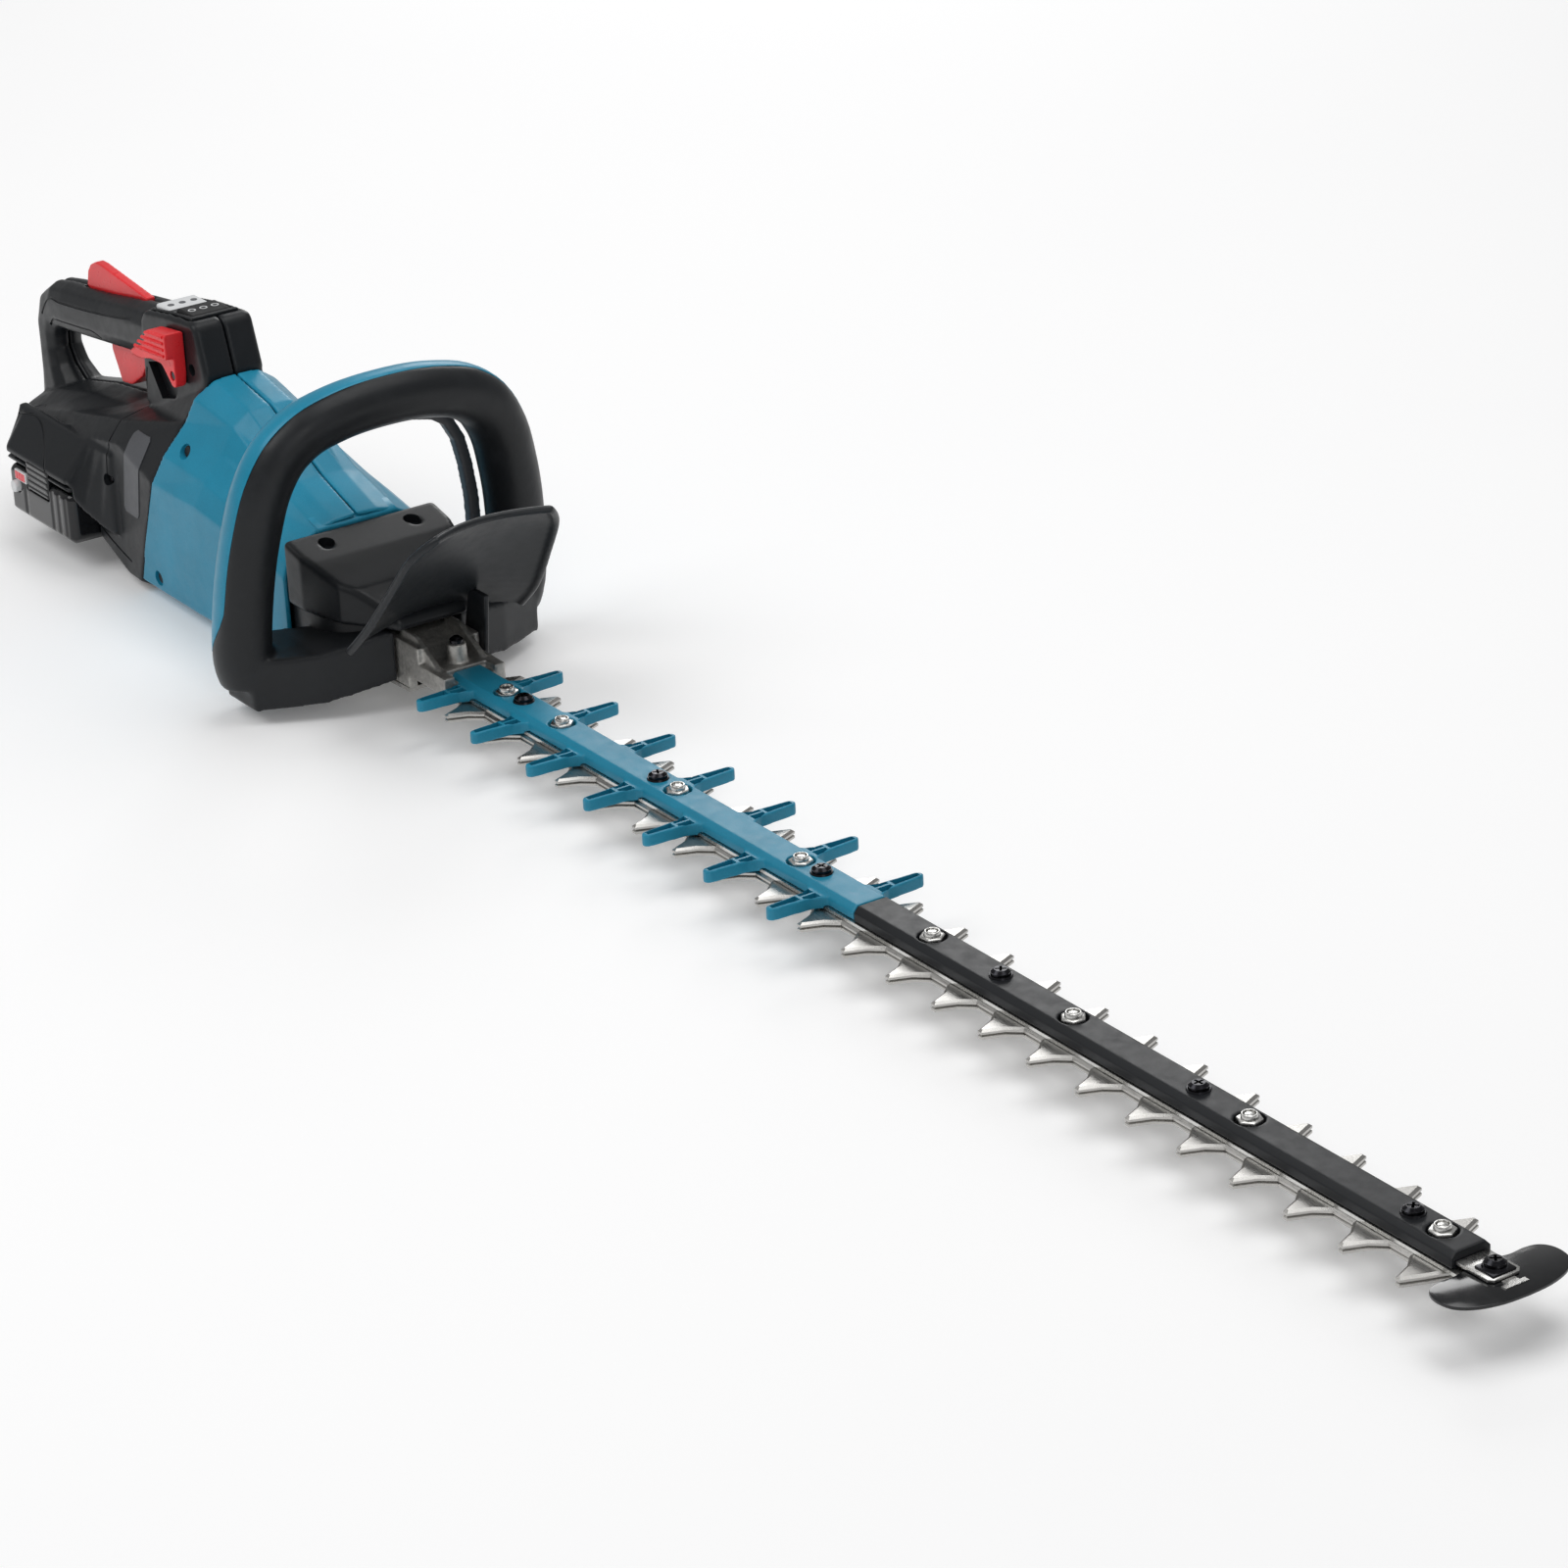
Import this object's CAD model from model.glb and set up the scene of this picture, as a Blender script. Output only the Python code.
# Hedge trimmer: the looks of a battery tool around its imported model, one section per piece.
import math

import bmesh
import bpy
from mathutils import Matrix, Vector


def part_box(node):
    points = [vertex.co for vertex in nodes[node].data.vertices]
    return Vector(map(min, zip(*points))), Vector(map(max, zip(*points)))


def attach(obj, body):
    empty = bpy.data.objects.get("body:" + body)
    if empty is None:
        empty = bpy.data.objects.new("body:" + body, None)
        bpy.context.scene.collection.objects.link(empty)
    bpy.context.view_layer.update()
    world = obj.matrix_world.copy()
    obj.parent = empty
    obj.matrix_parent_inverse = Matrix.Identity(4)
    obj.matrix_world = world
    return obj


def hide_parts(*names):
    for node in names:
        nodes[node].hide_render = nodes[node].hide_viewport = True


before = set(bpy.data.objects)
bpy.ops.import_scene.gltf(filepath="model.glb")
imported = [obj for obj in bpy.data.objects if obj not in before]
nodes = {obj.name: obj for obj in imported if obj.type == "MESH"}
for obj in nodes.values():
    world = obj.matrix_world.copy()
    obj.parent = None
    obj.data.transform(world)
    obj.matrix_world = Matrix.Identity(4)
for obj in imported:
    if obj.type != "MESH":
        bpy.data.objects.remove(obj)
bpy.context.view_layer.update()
coarse = 1.0

# Every place below is measured from the last tooth, on the bar's centre line, at the comb's height.
datum = {"insideRail": 0.0165, "aboveRail": 0.0023}
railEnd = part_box("guide_rail")[1]
home = Vector((railEnd.x - datum["insideRail"], 0.0, railEnd.z + datum["aboveRail"]))


def at(x, y, z):
    return Vector((x, y, z)) + home


# Small tools for modelling

def pickNone():
    bpy.ops.object.select_all(action="DESELECT")


def pickOnly(piece):
    pickNone()
    piece.select_set(True)
    bpy.context.view_layer.objects.active = piece


def named(name):
    piece = bpy.context.view_layer.objects.active
    piece.name = name
    piece.data.name = name
    return piece


def settle(piece):
    pickOnly(piece)
    bpy.ops.object.transform_apply(location=True, rotation=True, scale=True)
    return piece


def bake(piece, kind, **settings):
    step = piece.modifiers.new(kind.lower(), kind)
    for key, value in settings.items():
        setattr(step, key, value)
    pickOnly(piece)
    bpy.ops.object.modifier_apply(modifier=step.name)
    return piece


def editPoints(piece):
    bpy.ops.object.mode_set(mode="EDIT")
    return bmesh.from_edit_mesh(piece.data)


def closeEdit(piece):
    bpy.ops.mesh.select_all(action="SELECT")
    bpy.ops.mesh.normals_make_consistent(inside=False)
    bpy.ops.object.mode_set(mode="OBJECT")
    return piece


def filledOutline(name, outline):
    # A circle's points are dragged on to the outline. Edit mode stays open.
    pickNone()
    bpy.ops.mesh.primitive_circle_add(vertices=len(outline), radius=0.01, fill_type="NGON")
    piece = named(name)
    shape = editPoints(piece)
    shape.verts.ensure_lookup_table()
    for vert, place in zip(shape.verts, outline):
        vert.co = place
    bmesh.update_edit_mesh(piece.data)
    bpy.ops.mesh.select_all(action="SELECT")
    return piece


def slab(name, outline, step):
    piece = filledOutline(name, outline)
    bpy.ops.mesh.extrude_region_move(TRANSFORM_OT_translate={"value": step})
    return closeEdit(piece)


def slabXY(name, outline, low, high):
    return slab(name, [at(x, y, low) for x, y in outline], (0, 0, high - low))


def slabXZ(name, outline, low, high):
    return slab(name, [at(x, low, z) for x, z in outline], (0, high - low, 0))


def lofted(name, rings):
    # The cap is extruded again and again, and its points are moved on to the next ring.
    piece = filledOutline(name, rings[0])
    for before, after in zip(rings, rings[1:]):
        bpy.ops.mesh.extrude_region_move(TRANSFORM_OT_translate={"value": (0, 0, 0)})
        shape = bmesh.from_edit_mesh(piece.data)
        for vert in shape.verts:
            if vert.select:
                k = min(range(len(before)), key=lambda j: (before[j] - vert.co).length_squared)
                vert.co = after[k]
        bmesh.update_edit_mesh(piece.data)
    return closeEdit(piece)


def block(name, low, high):
    pickNone()
    middle = (Vector(low) + Vector(high)) / 2
    bpy.ops.mesh.primitive_cube_add(size=1, location=middle, scale=Vector(high) - Vector(low))
    return settle(named(name))


def pin(name, radius, start, end, steps=24, tip=None):
    pickNone()
    start, end = Vector(start), Vector(end)
    way = end - start
    tilt = way.to_track_quat("Z", "Y").to_euler()
    bpy.ops.mesh.primitive_cone_add(vertices=steps, radius1=radius, depth=way.length,
                                    radius2=radius if tip is None else tip,
                                    location=(start + end) / 2, rotation=tilt)
    return settle(named(name))


def wire(name, points, radius, steps=8):
    rings = []
    for k, point in enumerate(points):
        way = points[min(k + 1, len(points) - 1)] - points[max(k - 1, 0)]
        turned = way.to_track_quat("Z", "Y")
        rings.append([point + turned @ Vector((radius * math.cos(math.tau * j / steps),
                                               radius * math.sin(math.tau * j / steps), 0))
                      for j in range(steps)])
    return lofted(name, rings)


def joined(name, pieces):
    pickNone()
    for piece in pieces:
        piece.select_set(True)
    bpy.context.view_layer.objects.active = pieces[0]
    if len(pieces) > 1:
        bpy.ops.object.join()
    return named(name)


def twin(name, source):
    made = bpy.data.objects.new(name, source.data.copy())
    bpy.context.scene.collection.objects.link(made)
    return made


def cadCopy(name, nodeName):
    # The copy's loose triangles are merged first.
    piece = twin(name, nodes[nodeName])
    pickOnly(piece)
    named(name)
    bpy.ops.object.mode_set(mode="EDIT")
    bpy.ops.mesh.select_all(action="SELECT")
    bpy.ops.mesh.remove_doubles(threshold=0.00002)
    bpy.ops.object.mode_set(mode="OBJECT")
    return piece


def soften(piece, voxel, rounds):
    # Rounds every edge the way a mould does: remeshed evenly, then relaxed.
    bake(piece, "REMESH", mode="VOXEL", voxel_size=voxel * coarse)
    return bake(piece, "SMOOTH", factor=0.5, iterations=max(1, round(rounds / coarse)))


def bevelled(piece, width, segments=2, angle=40):
    return bake(piece, "BEVEL", width=width, segments=segments, angle_limit=math.radians(angle))


def carve(piece, *tools, operation="DIFFERENCE"):
    for tool in tools:
        bake(piece, "BOOLEAN", object=tool, operation=operation, solver="MANIFOLD")
        bpy.data.objects.remove(tool)
    return piece


def done(piece, body, slotName, material, *replaced, angle=35):
    piece.data.materials.clear()
    piece.data.materials.append(material)
    pickOnly(piece)
    bpy.ops.object.shade_smooth_by_angle(angle=math.radians(angle))
    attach(piece, body)
    if replaced:
        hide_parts(*replaced)
    return piece


def spread(values, per):
    # Smooth curve through the given points, with extra ones between them.
    result = []
    for k in range(len(values) - 1):
        a, b = values[max(k - 1, 0)], values[k]
        c, d = values[k + 1], values[min(k + 2, len(values) - 1)]
        for j in range(per):
            t = j / per
            result.append(0.5 * ((2 * b) + (c - a) * t + (2 * a - 5 * b + 4 * c - d) * t * t
                                 + (3 * b - a - 3 * c + d) * t ** 3))
    result.append(values[-1])
    return result


def onSide(piece, points, side):
    # Points on the piece's flank, found from straight beside it.
    found = []
    for x, z in points:
        hit, place, normal, index = piece.ray_cast(at(x, side * 0.2, z), Vector((0, -side, 0)))
        if hit:
            found.append(place)
    return found


# Finishes

class Signal:
    # A node socket that can be used in sums.
    def __init__(self, tree, socket):
        self.tree = tree
        self.socket = socket

    def sum(self, operation, first, second):
        node = self.tree.nodes.new("ShaderNodeMath")
        node.operation = operation
        for slot, value in zip(node.inputs, (first, second)):
            if isinstance(value, Signal):
                self.tree.links.new(value.socket, slot)
            else:
                slot.default_value = value
        return Signal(self.tree, node.outputs[0])

    def __add__(self, other):
        return self.sum("ADD", self, other)

    def __radd__(self, other):
        return self.sum("ADD", other, self)

    def __sub__(self, other):
        return self.sum("SUBTRACT", self, other)

    def __rsub__(self, other):
        return self.sum("SUBTRACT", other, self)

    def __mul__(self, other):
        return self.sum("MULTIPLY", self, other)

    def __rmul__(self, other):
        return self.sum("MULTIPLY", other, self)


class Finish:
    def __init__(self, name, **constants):
        self.material = bpy.data.materials.new(name)
        self.material.use_nodes = True
        self.tree = self.material.node_tree
        self.shader = self.tree.nodes["Principled BSDF"]
        for socket, value in constants.items():
            self.shader.inputs[socket.replace("_", " ")].default_value = value
        self.place = self.node("ShaderNodeTexCoord", {}, {}, "Object")

    def node(self, kind, settings, sockets, output=0):
        made = self.tree.nodes.new(kind)
        for key, value in settings.items():
            setattr(made, key, value)
        for key, value in sockets.items():
            if isinstance(value, Signal):
                self.tree.links.new(value.socket, made.inputs[key])
            else:
                made.inputs[key].default_value = value
        return Signal(self.tree, made.outputs[output])

    def noise(self, scale, detail=3.0, rough=0.5, stretch=(1, 1, 1)):
        place = self.node("ShaderNodeMapping", {}, {"Vector": self.place, "Scale": stretch})
        return self.node("ShaderNodeTexNoise", {}, {"Vector": place, "Scale": scale,
                                                    "Detail": detail, "Roughness": rough})

    def spots(self, scale):
        return self.node("ShaderNodeTexVoronoi", {}, {"Vector": self.place, "Scale": scale})

    def fade(self, value, low, high, start=0.0, end=1.0):
        return self.node("ShaderNodeMapRange", {}, {"Value": value, "From Min": low,
                                                    "From Max": high, "To Min": start,
                                                    "To Max": end})

    def mix(self, share, first, second):
        return self.node("ShaderNodeMix", {"data_type": "RGBA"}, {0: share, 6: first, 7: second}, 2)

    def bump(self, height, distance, strength=1.0):
        return self.node("ShaderNodeBump", {}, {"Height": height, "Distance": distance,
                                                "Strength": strength})

    def feed(self, **links):
        for socket, signal in links.items():
            self.tree.links.new(signal.socket, self.shader.inputs[socket.replace("_", " ")])
        return self.material


def tone(colour, share):
    return tuple(c * share for c in colour) + (1.0,)


gleam = 0.28   # specular level of the plastics and the rubber


def mouldedPlastic(name, colour, rough, grain, depth, scuff, coat=0.0):
    made = Finish(name, Coat_Weight=coat, Coat_Roughness=0.18, Specular_IOR_Level=gleam)
    wash = made.noise(28.0, 3.0)              # slow drift of the colour
    fine = made.noise(grain, 2.0, 0.6)        # spark-eroded grain of the mould
    dust = made.noise(150.0, 5.0, 0.65)
    worn = made.fade(made.node("ShaderNodeNewGeometry", {}, {}, "Pointiness"), 0.515, 0.60)
    mottle = made.mix(made.fade(wash, 0.3, 0.7), tone(colour, 0.90), tone(colour, 1.10))
    speckled = made.mix(made.fade(fine, 0.35, 0.75, 0.0, 0.16), mottle, tone(colour, 1.9))
    rubbed = made.mix(worn * made.fade(dust, 0.40, 0.62) * scuff, speckled,
                      tuple(min(1.0, c * 2.2 + 0.06) for c in colour) + (1.0,))
    gloss = made.fade(dust, 0.3, 0.7, rough - 0.05, rough + 0.07) - worn * 0.06
    return made.feed(Base_Color=rubbed, Roughness=gloss, Normal=made.bump(fine, depth, 0.6))


def softRubber(name, colour, rough):
    made = Finish(name, Specular_IOR_Level=gleam)
    wash = made.noise(22.0, 3.0)
    pores = made.spots(1500.0)
    rub = made.noise(90.0, 4.0, 0.6)
    base = made.mix(made.fade(wash, 0.3, 0.7), tone(colour, 0.85), tone(colour, 1.15))
    base = made.mix(made.fade(rub, 0.52, 0.75, 0.0, 0.25), base, tone(colour, 2.1))
    gloss = made.fade(rub, 0.3, 0.7, rough - 0.06, rough + 0.06)
    return made.feed(Base_Color=base, Roughness=gloss, Normal=made.bump(pores, 0.00003, 0.5))


def groundSteel(name, colour, rough, along=(1, 22, 22)):
    made = Finish(name, Metallic=1.0)
    lines = made.noise(160.0, 6.0, 0.7, along)
    stain = made.noise(34.0, 4.0, 0.6)
    base = made.mix(made.fade(lines, 0.35, 0.65), tone(colour, 0.80), tone(colour, 1.12))
    base = made.mix(made.fade(stain, 0.50, 0.78, 0.0, 0.45), base, tone(colour, 0.62))
    gloss = made.fade(lines, 0.3, 0.7, rough - 0.06, rough + 0.10)
    gloss = gloss + made.fade(stain, 0.5, 0.8, 0.0, 0.12)
    return made.feed(Base_Color=base, Roughness=gloss, Normal=made.bump(lines, 0.00003, 0.4))


def castMetal(name, colour, rough):
    made = Finish(name, Metallic=0.85)
    grit = made.noise(520.0, 5.0, 0.65)
    lumps = made.noise(90.0, 3.0)
    soot = made.noise(45.0, 4.0, 0.6)
    base = made.mix(made.fade(grit, 0.3, 0.7), tone(colour, 0.72), tone(colour, 1.2))
    base = made.mix(made.fade(soot, 0.48, 0.72, 0.0, 0.55), base, tone(colour, 0.42))
    gloss = made.fade(grit, 0.3, 0.7, rough - 0.06, rough + 0.12)
    return made.feed(Base_Color=base, Roughness=gloss,
                     Normal=made.bump(grit * 0.6 + lumps, 0.00022, 0.7))


# Plastics: colour, roughness, grain scale and depth, edge wear, clear coat.
# Metals: colour, roughness, and how far the grinding lines are squeezed along each axis.
finishes = {
    "teal": mouldedPlastic("tealMoulding", (0.013, 0.222, 0.352), 0.33, 1500.0, 0.000014, 0.20),
    "comb": mouldedPlastic("combMoulding", (0.014, 0.205, 0.322), 0.38, 1300.0, 0.000018, 0.30),
    "shell": mouldedPlastic("blackShell", (0.0095, 0.0110, 0.0130), 0.36, 1100.0, 0.00003, 0.30),
    "smooth": mouldedPlastic("smoothBlack", (0.0085, 0.0098, 0.0118), 0.40, 1700.0, 0.00001, 0.22),
    "guard": mouldedPlastic("guardBlack", (0.0150, 0.0170, 0.0195), 0.34, 1200.0, 0.00002, 0.25),
    "gloss": mouldedPlastic("glossBlack", (0.0045, 0.0050, 0.0062), 0.13, 1800.0, 0.000006, 0.15,
                            0.4),
    "dark": mouldedPlastic("deepBlack", (0.006, 0.006, 0.007), 0.55, 900.0, 0.00002, 0.10),
    "red": mouldedPlastic("redMoulding", (0.740, 0.026, 0.032), 0.30, 1400.0, 0.00001, 0.20,
                          0.15),
    "grey": mouldedPlastic("greyPrint", (0.62, 0.63, 0.64), 0.42, 1500.0, 0.000006, 0.05),
    "plate": mouldedPlastic("greyPlate", (0.085, 0.088, 0.096), 0.34, 1600.0, 0.000006, 0.10),
    "lamp": mouldedPlastic("redGauge", (0.70, 0.035, 0.05), 0.22, 1600.0, 0.000004, 0.05, 0.4),
    "rubber": softRubber("gripRubber", (0.0115, 0.0130, 0.0150), 0.40),
    "steel": groundSteel("bladeSteel", (0.50, 0.49, 0.47), 0.28),
    "plated": groundSteel("platedSteel", (0.68, 0.675, 0.655), 0.24, (6, 6, 6)),
    "blackSteel": groundSteel("blackedSteel", (0.030, 0.030, 0.034), 0.20, (6, 6, 6)),
    "cast": castMetal("castAlloy", (0.50, 0.49, 0.465), 0.42),
    "drive": groundSteel("oiledSteel", (0.36, 0.36, 0.37), 0.34, (5, 5, 5)),
    "board": mouldedPlastic("greenBoard", (0.02, 0.12, 0.05), 0.35, 900.0, 0.00003, 0.05, 0.3),
}
print("finishes made")


# Front handle: a rubber hoop with a coloured back band

hoop = {
    "half": [(0.0790, -0.0060), (0.0828, 0.0060), (0.0828, 0.0280), (0.0800, 0.0580),
             (0.0758, 0.0800), (0.0705, 0.0985), (0.0610, 0.1150), (0.0470, 0.1255),
             (0.0300, 0.1305), (0.0120, 0.1328)],   # one half of its centre line, across and up
    "per": 4, "bottom": -0.0060,
    "x": -0.847, "lean": 0.14,                # place along the tool, and lean for each metre up
    "deep": 0.0172, "wide": 0.0152,           # half sizes of the oval section
    "splitOut": 0.0058, "splitIn": -0.0115,   # seam between rubber and back band
    "foot": 0.003, "grow": 0.034,             # height where the band starts, and its run-out
    "ease": 1.6, "close": 0.985, "trim": 0.002,
    "frontPoints": 22, "backPoints": 16, "gap": 0.0001,
    "voxel": 0.0012, "rounds": 14, "bandEdge": 0.0006,
}


def hoopRings(sectionAt, lowest):
    half = [Vector(p) for p in hoop["half"]]
    path = [Vector((-p.x, p.y)) for p in half] + list(reversed(half))
    path = [p for p in spread(path, hoop["per"]) if p.y >= lowest]
    rings = []
    for k, point in enumerate(path):
        way = (path[min(k + 1, len(path) - 1)] - path[max(k - 1, 0)]).normalized()
        out = Vector((-way.y, way.x))
        ring = []
        for u, v in sectionAt(point.y):
            y, z = point + out * v
            ring.append(at(hoop["x"] + u + hoop["lean"] * z, y, z))
        rings.append(ring)
    return rings


def seamAngle(z, split):
    # Near its foot the band narrows until the rubber closes round behind it.
    fade = min(1.0, max(0.0, (hoop["foot"] + hoop["grow"] - z) / hoop["grow"])) ** hoop["ease"]
    return math.acos((split - fade * (hoop["deep"] * hoop["close"] + split)) / hoop["deep"])


def hoopArc(first, last, count, shrink):
    turns = [first + (last - first) * k / (count - 1) for k in range(count)]
    arc = [((hoop["deep"] - shrink) * math.cos(a), (hoop["wide"] - shrink) * math.sin(a))
           for a in turns]
    (x0, y0), (x1, y1) = arc[0], arc[-1]
    return arc + [(x1 + (x0 - x1) * share, y1 + (y0 - y1) * share) for share in (0.25, 0.5, 0.75)]


def frontSection(z):
    return hoopArc(-seamAngle(z, hoop["splitIn"]), seamAngle(z, hoop["splitOut"]),
                   hoop["frontPoints"], 0.0)


def backSection(z):
    return hoopArc(seamAngle(z, hoop["splitOut"]), math.tau - seamAngle(z, hoop["splitIn"]),
                   hoop["backPoints"], hoop["gap"])


frontLoop = lofted("frontLoop", hoopRings(frontSection, hoop["bottom"]))
armStock = cadCopy("armStock", "front_grip")
frontHandle = joined("frontHandle", [frontLoop, armStock])
soften(frontHandle, hoop["voxel"], hoop["rounds"])
done(frontHandle, "body", "black_rubber", finishes["rubber"], "front_grip")

backBand = lofted("backBand", hoopRings(backSection, hoop["foot"] + hoop["trim"]))
bevelled(backBand, hoop["bandEdge"], angle=50)
done(backBand, "body", "teal_plastic", finishes["teal"], "front_handle_back", angle=50)

squeeze = {"widen": 1.07, "voxel": 0.0008, "rounds": 6}
squeezeBar = cadCopy("squeezeBar", "switch_lever")
squeezeBar.scale.y = squeeze["widen"]
settle(squeezeBar)
soften(squeezeBar, squeeze["voxel"], squeeze["rounds"])
done(squeezeBar, "switch_lever", "black_plastic", finishes["plate"], "switch_lever")
print("front handle made")


# Motor housing: two coloured halves

housing = {
    "voxel": 0.0010, "rounds": 4,
    "screws": [(-0.9850, 0.0680), (-1.0125, -0.0110)],
    "slopeFrom": 0.03, "slope": 0.25,         # the flank leans inwards above this height
    "screw": {"well": 0.0044, "depth": 0.0021, "wellSteps": 28, "head": 0.0036, "top": 0.0030,
              "from": 0.0023, "to": 0.0014, "steps": 20},
    "notches": [-0.985, -0.966, -0.947, -0.928],
    "notch": {"long": 0.0075, "out": 0.030, "half": 0.006, "low": -0.0270, "high": -0.0235},
    "filler": [(-0.8740, 0.0500), (-0.8632, 0.0500), (-0.8632, 0.0560), (-0.8645, 0.0570),
               (-0.8740, 0.0598)],            # closes the front edge above the gear cover
    "fillerHalf": 0.0240, "fillerEdge": 0.0006,
}


def screwWell(half, spot, out, size, name, body, look):
    carve(half, pin("wellTool", size["well"], spot - out * size["depth"], spot + out * 0.01,
                    size["wellSteps"]))
    screw = pin(name, size["head"], spot - out * size["from"], spot - out * size["to"],
                size["steps"], size["top"])
    done(screw, body, "gear_steel", finishes[look])


for nodeName, side in (("housing_left", 1), ("housing_right", -1)):
    half = cadCopy("housingShell" + nodeName[8:].title(), nodeName)
    notch = housing["notch"]
    for x in housing["notches"]:
        carve(half, block("notchTool", at(x, side * notch["out"] - notch["half"], notch["low"]),
                          at(x + notch["long"], side * notch["out"] + notch["half"],
                             notch["high"])))
    soften(half, housing["voxel"], housing["rounds"])
    for x, z in housing["screws"]:
        spot = onSide(half, [(x, z)], side)[0]
        out = Vector((0, side, housing["slope"] if z > housing["slopeFrom"] else 0)).normalized()
        screwWell(half, spot, out, housing["screw"], "housingScrew", "body", "dark")
    done(half, "body", "teal_plastic", finishes["teal"], nodeName)

filler = slabXZ("frontFiller", housing["filler"], -housing["fillerHalf"], housing["fillerHalf"])
bevelled(filler, housing["fillerEdge"])
done(filler, "body", "teal_plastic", finishes["teal"])

swivel = {"voxel": 0.0011, "rounds": 3}
swivelRing = cadCopy("swivelRing", "swivel_ring")
soften(swivelRing, swivel["voxel"], swivel["rounds"])
done(swivelRing, "rear_handle", "gear_steel", finishes["dark"], "swivel_ring")
print("housing made")


# Gear cover, nose and hand guard

cover = {"voxel": 0.0010, "rounds": 5,
         "holes": [(-0.8520, 0.0256), (-0.8520, -0.0256)], "hole": 0.0045,
         "sink": 0.0495, "above": 0.0650}     # floor of the screw holes, and a height clear of it
gearCover = cadCopy("gearCover", "gear_cover")
soften(gearCover, cover["voxel"], cover["rounds"])
for x, y in cover["holes"]:
    carve(gearCover, pin("coverTool", cover["hole"], at(x, y, cover["sink"]),
                         at(x, y, cover["above"]), 32))
done(gearCover, "body", "black_plastic", finishes["shell"], "gear_cover")

apron = {"outer": 0.0424, "inner": 0.0408, "crank": -0.8460, "back": -0.8800, "tuck": 0.0010,
         "low": -0.0035, "high": 0.0206, "steps": 40, "edge": 0.0006,
         "opening": ((-0.8200, -0.0190, -0.0100), (-0.7900, 0.0190, 0.0175))}   # for the nose


def apronOutline(radius, back):
    turns = [math.radians(-90 + 180 * k / apron["steps"]) for k in range(apron["steps"] + 1)]
    front = [(apron["crank"] + radius * math.cos(a), radius * math.sin(a)) for a in turns]
    return [(back, -radius + apron["tuck"])] + front + [(back, radius - apron["tuck"])]


coverSkirt = slabXY("coverSkirt", apronOutline(apron["outer"], apron["back"]), apron["low"],
                    apron["high"])
carve(coverSkirt, slabXY("skirtTool", apronOutline(apron["inner"], -0.8900), -0.0100, 0.0300),
      block("noseTool", *[at(*corner) for corner in apron["opening"]]))
bevelled(coverSkirt, apron["edge"])
done(coverSkirt, "body", "black_plastic", finishes["shell"])

neck = {"outline": [(-0.7960, -0.0020), (-0.7740, -0.0020), (-0.7690, 0.0370), (-0.7860, 0.0370)],
        "inner": 0.0186, "outer": 0.0214, "edge": 0.0009}
neckPlate = slabXZ("neckPlate", neck["outline"], neck["inner"], neck["outer"])
bevelled(neckPlate, neck["edge"], 3)
done(neckPlate, "body", "black_plastic", finishes["shell"])

nose = {
    "voxel": 0.00075, "rounds": 3,
    "topCut": ((-0.7770, -0.0300, 0.0062), (-0.7400, 0.0300, 0.0300)),
    "tailCut": ((-0.7610, -0.0120, 0.0026), (-0.7400, 0.0120, 0.0300)),
    "slope": [(-0.7985, 0.0151), (-0.7770, 0.0062), (-0.7400, 0.0062), (-0.7400, 0.0300),
              (-0.7985, 0.0300)],
    "slopeHalf": 0.0120,
    "rib": [(-0.8000, 0.0060), (-0.8000, 0.0190), (-0.7850, 0.0190), (-0.7630, 0.0066),
            (-0.7630, 0.0040)],
    "ribSides": (-0.0155, 0.0110), "ribWide": 0.0034,
    "boss": -0.7690, "bossFoot": (0.0058, 0.0040), "bossTop": (0.0048, 0.0168),   # radius, height
    "bolt": 0.0036, "boltFrom": 0.0166, "boltTo": 0.0184,
    "domeFrom": 0.0183, "domeTo": 0.0200, "domeTop": 0.0018,
}
gearCase = cadCopy("gearCase", "gear_case")
carve(gearCase, block("topTool", *[at(*corner) for corner in nose["topCut"]]),
      block("tailTool", *[at(*corner) for corner in nose["tailCut"]]),
      slabXZ("slopeTool", nose["slope"], -nose["slopeHalf"], nose["slopeHalf"]))
for y in nose["ribSides"]:
    carve(gearCase, slabXZ("ribTool", nose["rib"], y, y + nose["ribWide"]), operation="UNION")
(foot, footZ), (top, topZ) = nose["bossFoot"], nose["bossTop"]
carve(gearCase, pin("bossTool", foot, at(nose["boss"], 0, footZ), at(nose["boss"], 0, topZ), 32,
                    top), operation="UNION")
soften(gearCase, nose["voxel"], nose["rounds"])
done(gearCase, "body", "cast_alloy", finishes["cast"], "gear_case")
bolt = pin("noseBolt", nose["bolt"], at(nose["boss"], 0, nose["boltFrom"]),
           at(nose["boss"], 0, nose["boltTo"]))
boltDome = pin("boltDome", nose["bolt"], at(nose["boss"], 0, nose["domeFrom"]),
               at(nose["boss"], 0, nose["domeTo"]), 24, nose["domeTop"])
noseBolt = joined("noseBolt", [bolt, boltDome])
done(noseBolt, "body", "gear_steel", finishes["blackSteel"])

shield = {
    "rows": [(-0.7955, 0.0190, 0.0520, 0.0060), (-0.7765, 0.0365, 0.0510, 0.0060),
             (-0.7560, 0.0620, 0.0470, 0.0035), (-0.7400, 0.0830, 0.0430, 0.0005),
             (-0.7290, 0.0950, 0.0340, 0.0)],   # x, height, half width and arch of each row
    "across": 24, "per": 5, "bow": 0.010, "back": 0.004, "wall": 0.0030,
    "rim": 0.0023, "rimAt": 0.985, "rimLift": (0.0010, 0, -0.0004), "rimSteps": 10,
    "voxel": 0.0009, "rounds": 5,
}


def shieldPoint(row, share):
    x, z, half, arch = row
    return at(x + shield["bow"] * share * share - shield["back"], half * share,
              z + arch * (1 - share * share))


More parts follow.
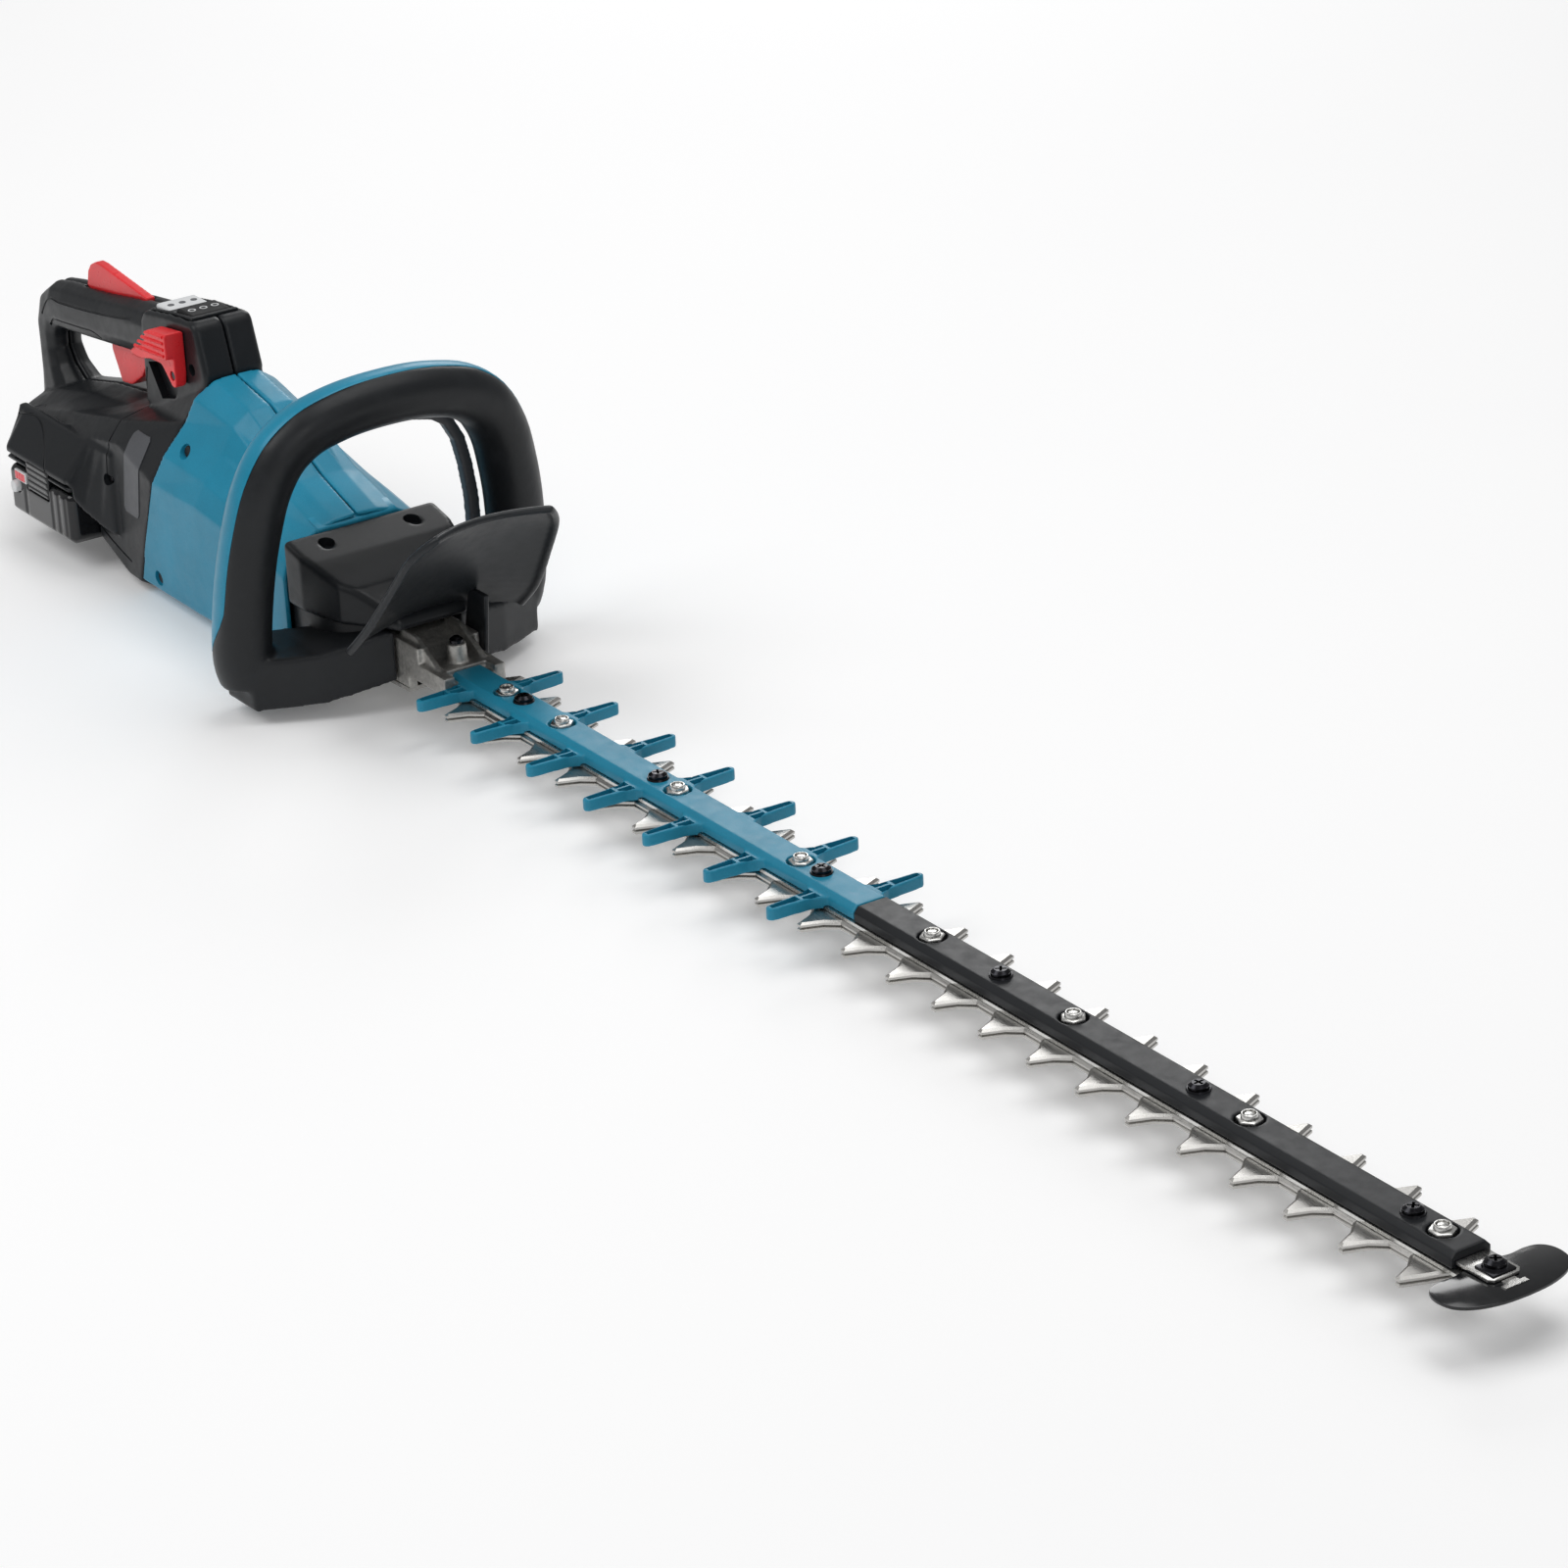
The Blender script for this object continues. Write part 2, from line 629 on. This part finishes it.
rows = spread([Vector(row) for row in shield["rows"]], shield["per"])
count = shield["across"]
pickNone()
bpy.ops.mesh.primitive_grid_add(x_subdivisions=count, y_subdivisions=len(rows) - 1, size=0.1)
sheet = named("handGuard")
shape = editPoints(sheet)
shape.verts.ensure_lookup_table()
for k, vert in enumerate(shape.verts):
    vert.co = shieldPoint(rows[k // (count + 1)], 2.0 * (k % (count + 1)) / count - 1.0)
bmesh.update_edit_mesh(sheet.data)
closeEdit(sheet)
bake(sheet, "SOLIDIFY", thickness=shield["wall"], offset=0.0)
rim = [shieldPoint(row, -shield["rimAt"]) for row in rows]
rim += [shieldPoint(rows[-1], s / 8) for s in range(-7, 8)]
rim += [shieldPoint(row, shield["rimAt"]) for row in reversed(rows)]
rimLift = Vector(shield["rimLift"])
rimBead = wire("rimBead", [p + rimLift for p in rim], shield["rim"], shield["rimSteps"])
handGuard = joined("handGuard", [sheet, rimBead])
soften(handGuard, shield["voxel"], shield["rounds"])
done(handGuard, "body", "guard_plastic", finishes["guard"], "hand_guard")
print("cover, nose and guard made")


# Rear handle: two dark halves with an overmoulded grip

rear = {
    "voxel": 0.0011, "rounds": 6, "seam": 0.00075,
    "seams": {
        "upper": [(-1.1960, 0.0860), (-1.1830, 0.0985), (-1.1688, 0.1000), (-1.1433, 0.1030),
                  (-1.1184, 0.1065), (-1.0950, 0.1105), (-1.0780, 0.1140)],
        "lower": [(-1.1890, 0.0810), (-1.1800, 0.0870), (-1.1688, 0.0885), (-1.1433, 0.0915),
                  (-1.1300, 0.0930), (-1.1220, 0.0905)],
        "flank": [(-1.1990, 0.0300), (-1.1700, 0.0420), (-1.1400, 0.0460), (-1.1150, 0.0300),
                  (-1.1000, 0.0100), (-1.0800, -0.0020), (-1.0600, -0.0090), (-1.0470, -0.0120)],
        "edge": [(-1.0560, 0.0930), (-1.0600, 0.0760), (-1.0620, 0.0560), (-1.0600, 0.0300)],
    },
    "seamPer": 6, "seamLeast": 3,
    "skirt": [(-1.1680, 0.0500, 0.0250), (-1.1655, 0.0560, 0.0244), (-1.1600, 0.0595, 0.0243),
              (-1.1200, 0.0600, 0.0243), (-1.0900, 0.0596, 0.0243), (-1.0842, 0.0586, 0.0243),
              (-1.0838, 0.0584, 0.0180), (-1.0760, 0.0550, 0.0110), (-1.0660, 0.0500, 0.0040),
              (-1.0580, 0.0460, 0.0000)],     # hangs over the battery: x, reach and lower edge
    "skirtLip": 0.0030, "skirtTop": 0.0480, "skirtCrest": 0.0450, "skirtRoot": 0.0400,
    "screws": [(-1.0610, 0.0330), (-1.0023, 0.1055), (-1.1880, 0.0300)],
    "screw": {"well": 0.0034, "depth": 0.0035, "wellSteps": 24, "head": 0.0026, "top": 0.0022,
              "from": 0.0035, "to": 0.0022, "steps": 18},
    "teeth": {"count": 6, "x": -1.0830, "z": -0.0150, "stepX": 0.0055, "stepZ": -0.0021,
              "lowest": -0.0268, "radius": 0.0014, "inner": 0.008, "outer": 0.036},
    "slot": [(-1.0540, 0.0967), (-1.0410, 0.0787), (-1.0250, 0.0830), (-1.0180, 0.0930),
             (-1.0263, 0.1040)],              # recess below the lock lever
    "slotFrom": -0.0400, "slotTo": -0.0135,
    "plate": [(-1.0470, 0.0180), (-1.0490, 0.0205), (-1.0400, 0.0640), (-1.0375, 0.0660),
              (-1.0225, 0.0660), (-1.0215, 0.0640), (-1.0300, 0.0205), (-1.0320, 0.0180)],
    "plateInner": 0.0250, "plateOuter": 0.0600, "plateProud": 0.0004, "angle": 40,
}


def skirtRing(x, out, low):
    return [at(x, -out, low), at(x, -out, low + rear["skirtLip"]),
            at(x, -rear["skirtCrest"], rear["skirtTop"]),
            at(x, -rear["skirtRoot"], rear["skirtTop"]), at(x, -rear["skirtRoot"], low)]


for nodeName, side in (("rear_handle_left", 1), ("rear_handle_right", -1)):
    half = cadCopy("rearShell" + nodeName[12:].title(), nodeName)
    if side < 0:
        carve(half, lofted("skirtPart", [skirtRing(*row) for row in rear["skirt"]]),
              operation="UNION")
    soften(half, rear["voxel"], rear["rounds"])
    for seam in rear["seams"].values():
        path = onSide(half, spread([Vector(p) for p in seam], rear["seamPer"]), side)
        if len(path) > rear["seamLeast"]:
            carve(half, wire("seamTool", path, rear["seam"]))
    for x, z in rear["screws"]:
        for spot in onSide(half, [(x, z)], side):
            screwWell(half, spot, Vector((0, side, 0)), rear["screw"], "rearScrew", "rear_handle",
                      "blackSteel")
    teeth = rear["teeth"]
    for k in range(teeth["count"]):
        x = teeth["x"] + teeth["stepX"] * k
        z = max(teeth["z"] + teeth["stepZ"] * k, teeth["lowest"])
        carve(half, pin("toothTool", teeth["radius"], at(x, side * teeth["inner"], z),
                        at(x, side * teeth["outer"], z), 12))
    if side < 0:
        carve(half, slabXZ("slotTool", rear["slot"], rear["slotFrom"], rear["slotTo"]))
    plate = twin("blankPlate" + nodeName[12:].title(), half)
    low, high = sorted((side * rear["plateInner"], side * rear["plateOuter"]))
    carve(plate, slabXZ("plateTool", rear["plate"], low, high), operation="INTERSECT")
    plate.location.y = side * rear["plateProud"]
    settle(plate)
    done(plate, "rear_handle", "black_plastic", finishes["plate"])
    done(half, "rear_handle", "black_plastic", finishes["shell"], nodeName, angle=rear["angle"])
print("rear handle made")


# Controls

keys = {   # voxel and smoothing rounds
    "trigger": (0.0006, 7), "palmLever": (0.0005, 5), "controlPanel": (0.0005, 3),
    "powerPad": (0.0005, 4), "reversePad": (0.0005, 4),
}
for nodeName, name in (("trigger", "trigger"), ("palm_lever", "palmLever")):
    lever = cadCopy(name, nodeName)
    soften(lever, *keys[name])
    done(lever, nodeName, "red_plastic", finishes["red"], nodeName)

lock = {
    "voxel": 0.0006, "rounds": 3,
    "frontCut": ((-1.0080, -0.0400, 0.0900), (-1.0000, -0.0100, 0.1400)),
    "legCut": [(-1.0560, 0.1010), (-1.0280, 0.1080), (-1.0040, 0.1130), (-1.0040, 0.0900),
               (-1.0560, 0.0900)],            # thins the leg below the thumb pad
    "legFrom": -0.0400, "legTo": -0.0255,
    "ribs": 4, "rib": 0.0010, "ribX": -1.0440, "ribZ": 0.1115, "ribStepX": 0.0046,
    "ribStepZ": 0.0036,
    "screw": (-1.0112, 0.1015), "well": 0.0028, "wellFrom": -0.0240, "wellTo": -0.0340,
    "head": 0.0022, "headFrom": -0.0239, "headTo": -0.0249,
}
lockLever = cadCopy("lockLever", "lock_lever")
carve(lockLever, block("frontTool", *[at(*corner) for corner in lock["frontCut"]]),
      slabXZ("legTool", lock["legCut"], lock["legFrom"], lock["legTo"]))
soften(lockLever, lock["voxel"], lock["rounds"])
for k in range(lock["ribs"]):
    z = lock["ribZ"] + lock["ribStepZ"] * k
    rib = wire("padRib", [at(lock["ribX"] + lock["ribStepX"] * k, -0.0298, z),
                          at(-1.0230, -0.0300, z + 0.0012), at(-1.0105, -0.0298, z + 0.0022)],
               lock["rib"])
    carve(lockLever, rib, operation="UNION")
x, z = lock["screw"]
carve(lockLever, pin("lockWell", lock["well"], at(x, lock["wellFrom"], z),
                     at(x, lock["wellTo"], z)))
done(lockLever, "lock_lever", "red_plastic", finishes["red"], "lock_lever")
lockScrew = pin("lockScrew", lock["head"], at(x, lock["headFrom"], z), at(x, lock["headTo"], z),
                16)
done(lockScrew, "lock_lever", "gear_steel", finishes["blackSteel"])

panel = cadCopy("controlPanel", "control_panel")
soften(panel, *keys["controlPanel"])
done(panel, "rear_handle", "black_plastic", finishes["smooth"], "control_panel")
for nodeName, name, look in (("power_button", "powerPad", "grey"),
                             ("reverse_button", "reversePad", "dark")):
    key = cadCopy(name, nodeName)
    soften(key, *keys[name])
    done(key, nodeName, "black_rubber", finishes[look], nodeName)

marks = {"apart": 0.0070, "dot": 0.0019, "ring": 0.0022, "hole": 0.0015, "cut": 0.001,
         "sink": 0.0003, "proud": 0.0002}


def markPlaces(nodeName):
    # Three places across the top of a key: foot and top of each mark.
    low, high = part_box(nodeName)
    middles = [Vector(((low.x + high.x) / 2, marks["apart"] * k, high.z)) for k in (-1, 0, 1)]
    return [(p - Vector((0, 0, marks["sink"])), p + Vector((0, 0, marks["proud"])))
            for p in middles]


for foot, top in markPlaces("power_button"):
    mark = pin("powerMark", marks["dot"], foot, top)
    done(mark, "power_button", "black_rubber", finishes["plate"])
for foot, top in markPlaces("reverse_button"):
    ring = pin("reverseMark", marks["ring"], foot, top)
    step = Vector((0, 0, marks["cut"]))
    carve(ring, pin("ringTool", marks["hole"], foot - step, top + step))
    done(ring, "reverse_button", "black_rubber", finishes["grey"])
print("controls made")


# Battery

pack = {
    "voxel": 0.0010, "rounds": 6, "grooves": [-1.1390, -1.1060, -1.0980, -1.0900],
    "groove": 0.0022, "grooveY": -0.0612, "grooveLow": -0.0200, "grooveHigh": 0.0250,
    "lidCut": ((-1.2000, -0.1000, 0.0234), (-1.0000, 0.1000, 0.0600)), "lidEdge": 0.0009,
}
batteryCase = cadCopy("batteryCase", "battery_case")
for x in pack["grooves"]:
    carve(batteryCase, pin("grooveTool", pack["groove"], at(x, pack["grooveY"], pack["grooveLow"]),
                           at(x, pack["grooveY"], pack["grooveHigh"]), 16))
soften(batteryCase, pack["voxel"], pack["rounds"])
done(batteryCase, "battery", "black_plastic", finishes["gloss"], "battery_case")
batteryLid = cadCopy("batteryLid", "battery_lid")
carve(batteryLid, block("lidTool", *[at(*corner) for corner in pack["lidCut"]]))
bevelled(batteryLid, pack["lidEdge"], 3, 50)
done(batteryLid, "battery", "black_plastic", finishes["shell"], "battery_lid")

latch = {"voxel": 0.0006, "rounds": 3, "grips": 4, "grip": 0.0010, "gripZ": 0.0125,
         "gripStep": 0.0036, "gripY": -0.0607, "gripFrom": -1.1400, "gripTo": -1.1050}
releaseKey = cadCopy("releaseKey", "battery_release")
for k in range(latch["grips"]):
    z = latch["gripZ"] + latch["gripStep"] * k
    carve(releaseKey, pin("gripTool", latch["grip"], at(latch["gripFrom"], latch["gripY"], z),
                          at(latch["gripTo"], latch["gripY"], z), 12))
soften(releaseKey, latch["voxel"], latch["rounds"])
done(releaseKey, "battery_release", "red_plastic", finishes["gloss"], "battery_release")

gauge = {"insetX": 0.0103, "belowTop": 0.0072, "wide": 0.0135, "tall": 0.0060, "edge": 0.0003,
         "bars": 4, "barStep": 0.0030, "barWide": 0.0022, "border": 0.0008, "firstBar": 0.0011,
         "keyEdge": 0.0004}
checkKey = cadCopy("checkKey", "charge_button")
bevelled(checkKey, gauge["keyEdge"], angle=50)
done(checkKey, "charge_button", "zinc_steel", finishes["grey"], "charge_button")
low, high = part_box("battery_case")
gaugeX, gaugeZ = low.x + gauge["insetX"], high.z - gauge["belowTop"]
gaugeFrame = block("gaugeFrame", (gaugeX, low.y - 0.0006, gaugeZ),
                   (gaugeX + gauge["wide"], low.y + 0.001, gaugeZ + gauge["tall"]))
bevelled(gaugeFrame, gauge["edge"])
done(gaugeFrame, "battery", "black_plastic", finishes["grey"])
for k in range(gauge["bars"]):
    x = gaugeX + gauge["firstBar"] + gauge["barStep"] * k
    gaugeBar = block("gaugeBar", (x, low.y - 0.0009, gaugeZ + gauge["border"]),
                     (x + gauge["barWide"], low.y - 0.0002,
                      gaugeZ + gauge["tall"] - gauge["border"]))
    done(gaugeBar, "battery", "red_plastic", finishes["lamp"])
print("battery made")


# Cutter bar: comb guard, black bar, blades, nuts and screws

comb = {
    "voxel": 0.0007, "rounds": 4, "pitch": 0.0525, "first": -0.7453, "teeth": 7,
    "stagger": 0.0146,                        # the left row of teeth sits this much further on
    "pocket": [(-0.0024, 0.0215), (-0.0015, 0.0366), (0.0015, 0.0366), (0.0024, 0.0215)],
    "fork": [(-0.0028, 0.0200), (-0.0006, 0.0200), (-0.0006, 0.0122), (-0.0052, 0.0122)],
    "cutLow": -0.0008, "cutHigh": 0.0080,
    "tail": [(-0.0103, 0.0000), (-0.0103, 0.0022), (-0.0078, 0.0050), (0.0078, 0.0050),
             (0.0103, 0.0022), (0.0103, 0.0000)],
    "tailX": -0.7600, "tailLong": 0.012,
    "barVoxel": 0.0006, "barRounds": 3,
}
combGuard = cadCopy("combGuard", "chip_guard")
carve(combGuard, slab("tailPiece", [at(comb["tailX"], y, z) for y, z in comb["tail"]],
                      (comb["tailLong"], 0, 0)), operation="UNION")
soften(combGuard, comb["voxel"], comb["rounds"])
for k in range(comb["teeth"]):
    for side, shift in ((-1, 0.0), (1, comb["stagger"])):
        toothX = comb["first"] + k * comb["pitch"] + shift
        for outline in (comb["pocket"], comb["fork"], [(-x, y) for x, y in comb["fork"]]):
            points = [(toothX + x, side * y) for x, y in outline]
            carve(combGuard, slabXY("pocketTool", points, comb["cutLow"], comb["cutHigh"]))
done(combGuard, "body", "teal_plastic", finishes["comb"], "chip_guard")
barCover = cadCopy("barCover", "bar_cover")
soften(barCover, comb["barVoxel"], comb["barRounds"])
done(barCover, "body", "black_plastic", finishes["smooth"], "bar_cover")
print("bar made")

blade = {"flat": 0.9, "bevel": 0.0014, "drop": 0.0009, "skin": 0.0001, "angle": 8}
for nodeName in ("upper_blade", "lower_blade"):
    strip = cadCopy(nodeName.split("_")[0] + "Blade", nodeName)
    pickOnly(strip)
    bpy.ops.object.mode_set(mode="EDIT")
    bpy.ops.mesh.select_all(action="SELECT")
    bpy.ops.mesh.dissolve_limited(angle_limit=math.radians(1))
    bpy.ops.mesh.select_all(action="DESELECT")
    shape = bmesh.from_edit_mesh(strip.data)
    for face in shape.faces:
        face.select = face.normal.z > blade["flat"]
    bmesh.update_edit_mesh(strip.data)
    bpy.ops.mesh.inset(thickness=blade["bevel"], depth=0.0)
    # The outer rim drops below the inset flat, which leaves a ground edge all round.
    shape = bmesh.from_edit_mesh(strip.data)
    inner = {v for f in shape.faces if f.select for v in f.verts}
    top = max(v.co.z for v in shape.verts)
    for vert in shape.verts:
        if vert.co.z > top - blade["skin"] and vert not in inner:
            vert.co.z -= blade["drop"]
    bmesh.update_edit_mesh(strip.data)
    closeEdit(strip)
    done(strip, nodeName, "blade_steel", finishes["steel"], nodeName, angle=blade["angle"])
print("blades made")

nut = {"hex": 0.0062, "hexEdge": 0.0007, "low": -0.0019, "hexTop": 0.0056,
       "cap": 0.0041, "capRim": 0.0036, "capTop": 0.0078, "capEdge": 0.0004,
       "bolt": 0.0025, "boltTop": 0.0074, "boltEdge": 0.0006, "play": 0.0004,
       "flange": 0.0067, "flangeTop": -0.0006, "count": 8,
       "firstTurn": 12, "eachTurn": 17}       # degrees, so that no two nuts stand alike
hexPart = pin("hexPart", nut["hex"], at(0, 0, nut["low"]), at(0, 0, nut["hexTop"]), 6)
bevelled(hexPart, nut["hexEdge"])
nutCap = pin("nutCap", nut["cap"], at(0, 0, nut["hexTop"] - 0.0003), at(0, 0, nut["capTop"]), 32,
             nut["capRim"])
carve(nutCap, pin("bore", nut["bolt"] + nut["play"], at(0, 0, nut["hexTop"] + nut["play"]),
                  at(0, 0, 0.0100)))
bevelled(nutCap, nut["capEdge"], angle=50)
stud = pin("stud", nut["bolt"], at(0, 0, nut["hexTop"]), at(0, 0, nut["boltTop"]))
bevelled(stud, nut["boltEdge"], angle=50)
flange = pin("flange", nut["flange"], at(0, 0, nut["low"]), at(0, 0, nut["flangeTop"]), 32)
nutModel = joined("nutModel", [hexPart, nutCap, stud, flange])
for k in range(1, nut["count"] + 1):
    low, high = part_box(f"lock_nut_{k}")
    lockNut = twin(f"lockNut{k}", nutModel)
    turnBy = Matrix.Rotation(math.radians(nut["firstTurn"] + nut["eachTurn"] * k), 4, "Z")
    place = Matrix.Translation(((low.x + high.x) / 2, 0, home.z))
    lockNut.matrix_world = place @ turnBy @ Matrix.Translation(-home)
    settle(lockNut)
    done(lockNut, "body", "zinc_steel", finishes["plated"], f"lock_nut_{k}")
bpy.data.objects.remove(nutModel)

panHead = {
    "collar": 0.00575, "collarRim": 0.0052, "collarTop": 0.0014,
    "head": 0.00475, "headLow": 0.0012, "headTop": 0.0026,
    "domeLow": 0.0025, "domeTop": 0.0039, "domeRim": 0.0030,
    "cross": 0.0026, "slot": 0.0006, "slotLow": 0.0022, "slotTall": 0.004,
    "low": 0.0046, "x": [-0.7048, -0.5810, -0.4418, -0.3021, -0.1617, -0.0235],
    "firstTurn": 0.4, "eachTurn": 0.7,        # radians
}


def panScrew(name, x, low, turnBy, *replaced):
    def level(part):
        return at(x, 0, low + panHead[part])

    collar = pin("collar", panHead["collar"], at(x, 0, low), level("collarTop"), 32,
                 panHead["collarRim"])
    head = pin("head", panHead["head"], level("headLow"), level("headTop"), 32)
    dome = pin("dome", panHead["head"], level("domeLow"), level("domeTop"), 32,
               panHead["domeRim"])
    carve(head, dome, operation="UNION")
    for quarter in (0, math.pi / 2):
        way = Vector((math.cos(turnBy + quarter), math.sin(turnBy + quarter), 0))
        way *= panHead["cross"]
        across = Vector((-way.y, way.x, 0)).normalized() * panHead["slot"]
        middle = level("slotLow")
        carve(head, slab("crossTool", [middle + way + across, middle - way + across,
                                       middle - way - across, middle + way - across],
                         (0, 0, panHead["slotTall"])))
    screw = joined(name, [head, collar])
    done(screw, "body", "gear_steel", finishes["blackSteel"], *replaced)


for k, x in enumerate(panHead["x"]):
    panScrew(f"coverScrew{k + 1}", x, panHead["low"],
             panHead["firstTurn"] + panHead["eachTurn"] * k)

tip = {
    "half": [(0.0465, 0.0), (0.0457, 0.0120), (0.0425, 0.0230), (0.0370, 0.0302),
             (0.0300, 0.0325), (0.0235, 0.0317), (0.0192, 0.0280), (0.0178, 0.0220),
             (0.0182, 0.0150), (0.0174, 0.0100), (0.0172, 0.0040)],
    "per": 4, "low": -0.0022, "high": -0.0006, "edge": 0.0004,
    "tongue": [(0.0335, 0.0034), (0.0365, 0.0034), (0.0365, 0.0060), (0.0392, 0.0060),
               (0.0392, -0.0060), (0.0365, -0.0060), (0.0365, -0.0034), (0.0335, -0.0034)],
    "tongueLow": -0.0006, "tongueHigh": -0.0001,
    "clip": [(0.0120, -0.0085), (0.0310, -0.0085), (0.0330, -0.0065), (0.0330, 0.0065),
             (0.0310, 0.0085), (0.0120, 0.0085)],
    "clipLow": -0.0003, "clipHigh": 0.0012, "clipEdge": 0.0003,
    "pad": [(0.0205, -0.0062), (0.0318, -0.0062), (0.0318, 0.0062), (0.0205, 0.0062)],
    "padHigh": 0.0022,
    "screw": (0.0260, 0.0020), "screwTurn": 0.9,
}
tipHalf = spread([Vector(p) for p in tip["half"]], tip["per"])
outline = [(p.x, p.y) for p in tipHalf] + [(p.x, -p.y) for p in reversed(tipHalf) if p.y > 0.0001]
tipPlate = slabXY("tipPlate", outline, tip["low"], tip["high"])
bevelled(tipPlate, tip["edge"])
done(tipPlate, "body", "black_plastic", finishes["gloss"], "tip_guard")

tipClip = slabXY("tipClip", tip["clip"], tip["clipLow"], tip["clipHigh"])
bevelled(tipClip, tip["clipEdge"])
clipTongue = slabXY("clipTongue", tip["tongue"], tip["tongueLow"], tip["tongueHigh"])
clipPad = slabXY("clipPad", tip["pad"], tip["clipHigh"], tip["padHigh"])
bevelled(clipPad, tip["clipEdge"])
done(clipTongue, "body", "blade_steel", finishes["plated"])
done(tipClip, "body", "blade_steel", finishes["plated"], "tip_clip")
done(clipPad, "body", "gear_steel", finishes["blackSteel"])
panScrew("tipScrew", *tip["screw"], tip["screwTurn"], "tip_screw")
print("cutter bar finished")


# Carried-over inner and small parts

looks = {
    "plated": ["guide_rail"] + [f"blade_bolt_{k}" for k in range(1, 9)],
    "cast": ["gear_case_lid"],
    "drive": ["crank_gear", "idler_gear", "motor_rotor", "motor_stator", "crank_bearing",
              "motor_bearing"],
    "dark": ["cooling_fan", "trigger_switch"],
    "board": ["controller", "cell_block", "battery_terminal"],
}
for look, members in looks.items():
    for member in members:
        nodes[member].data.materials.clear()
        nodes[member].data.materials.append(finishes[look])
print("inner parts dressed")


# Camera, floor and light

shot = {"eye": (1.3764, -1.2078, 1.0265), "right": (0.5635, 0.8250, -0.0447),
        "down": (0.3143, -0.2642, -0.9118), "forward": (-0.7640, 0.4998, -0.4081),
        "lens": 119.26, "sensor": 36.0, "reach": 50.0}
cameraData = bpy.data.cameras.new("viewCamera")
cameraData.lens = shot["lens"]
cameraData.sensor_width = shot["sensor"]
cameraData.clip_end = shot["reach"]
camera = bpy.data.objects.new("viewCamera", cameraData)
bpy.context.scene.collection.objects.link(camera)
axes = Matrix((shot["right"], [-c for c in shot["down"]], [-c for c in shot["forward"]]))
camera.matrix_world = Matrix.Translation(at(*shot["eye"])) @ axes.transposed().to_4x4()
bpy.context.scene.camera = camera

room = {
    "floor": 14, "below": -0.0004, "glow": 0.10, "worldLight": 0.30,
    "paper": [(0.955, 0.955, 0.96, 1), (0.975, 0.975, 0.975, 1)],
    "lights": {   # place, aim, size and watts
        "keyLight": ((-0.6, -1.6, 2.2), (-0.1, 0, 0), (2.0, 1.4), 25),
        "fillLight": ((2.4, -0.6, 1.4), (0, 0, 0), (1.2, 1.2), 9),
        "topLight": ((0.0, 0.6, 2.4), (0, 0, 0), (2.2, 1.2), 20),
        "rimLight": ((-2.0, 1.6, 1.2), (-0.3, 0, 0), (1.0, 1.0), 12),
    },
}
pickNone()
bpy.ops.mesh.primitive_plane_add(size=room["floor"], location=(0, 0, room["below"]))
floor = named("studioFloor")
paper = Finish("palePaper", Roughness=0.9, Emission_Color=(1, 1, 1, 1),
               Emission_Strength=room["glow"])
haze = paper.noise(3.0, 2.0)
floor.data.materials.append(paper.feed(Base_Color=paper.mix(haze, *room["paper"])))

for name, (place, aim, size, power) in room["lights"].items():
    data = bpy.data.lights.new(name, "AREA")
    data.shape = "RECTANGLE"
    data.size, data.size_y = size
    data.energy = power
    softbox = bpy.data.objects.new(name, data)
    bpy.context.scene.collection.objects.link(softbox)
    softbox.location = place
    softbox.rotation_euler = (Vector(aim) - Vector(place)).to_track_quat("-Z", "Y").to_euler()
world = bpy.data.worlds.new("paleRoom")
world.use_nodes = True
world.node_tree.nodes["Background"].inputs["Color"].default_value = (1, 1, 1, 1)
world.node_tree.nodes["Background"].inputs["Strength"].default_value = room["worldLight"]
bpy.context.scene.world = world
bpy.context.scene.view_settings.view_transform = "Standard"
print("camera and lights set")
